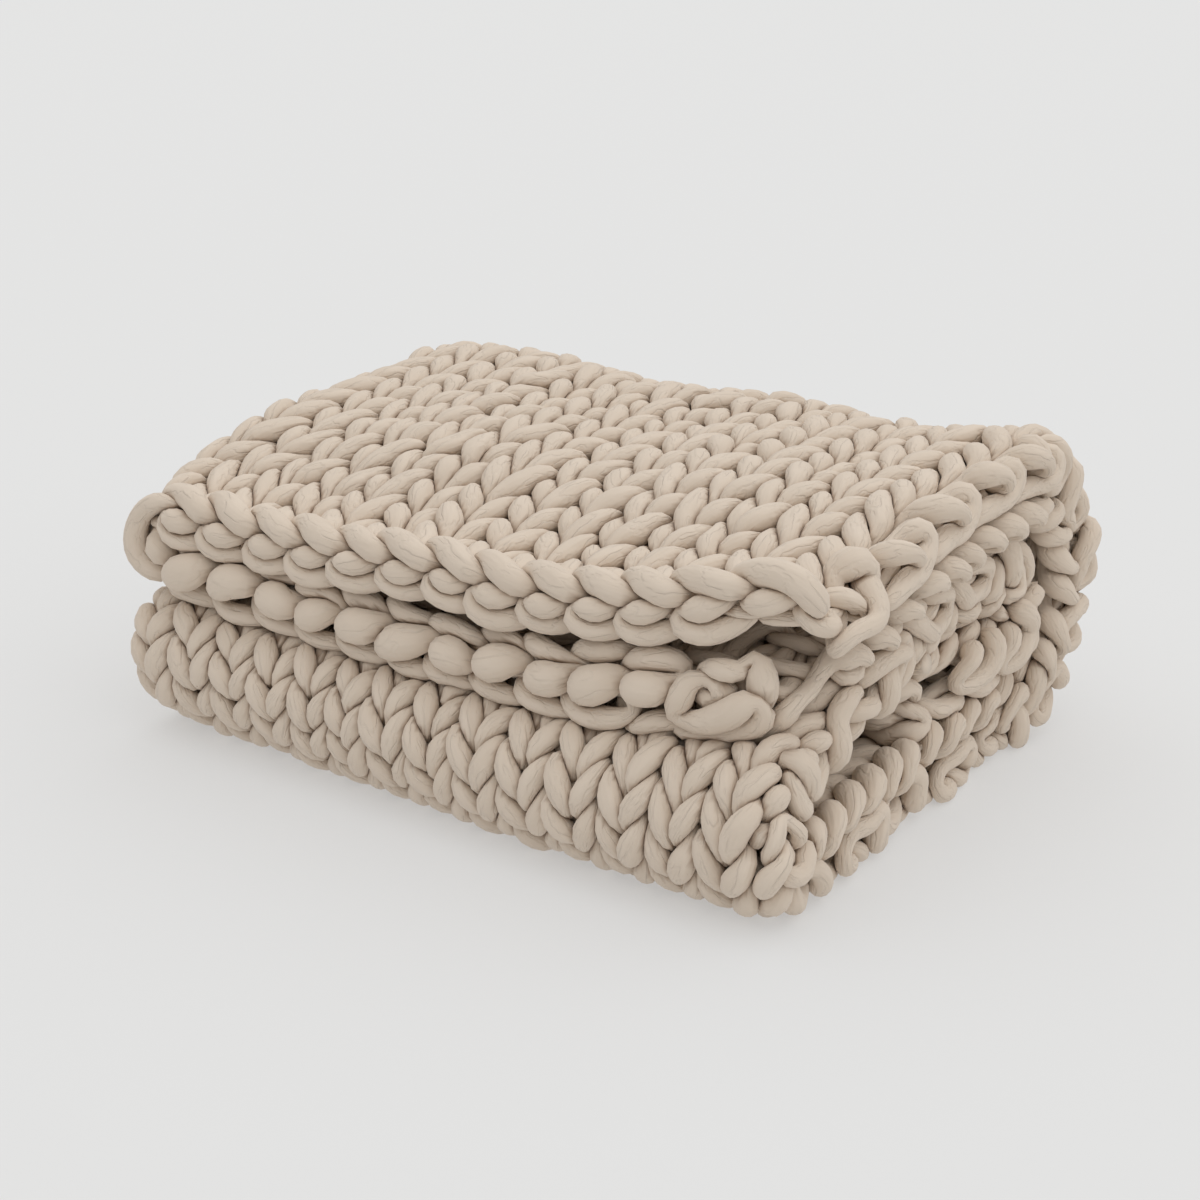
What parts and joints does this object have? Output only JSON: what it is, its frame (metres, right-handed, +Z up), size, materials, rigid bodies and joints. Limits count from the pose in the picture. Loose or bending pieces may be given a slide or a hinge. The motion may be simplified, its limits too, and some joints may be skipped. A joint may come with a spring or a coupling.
{
  "type": "chunky knit weighted blanket",
  "caption": "Folded chunky hand-knit weighted blanket: doubled plies of fat jersey tube yarn with a cast-on chain edge in front and open side edges at the right.",
  "frame": {"origin": "on the floor, under the middle of the folded blanket's box", "axes": "+X along the long front from the folded end to the open end, +Y from the front edge to the back fold, +Z up"},
  "size_m": [0.6108, 0.4852, 0.241],
  "materials": {
    "jersey_yarn": "soft matte cotton jersey tube yarn, warm beige"
  },
  "bodies": {
    "root": {"blanket": "jersey_yarn"}
  },
  "joints": []
}
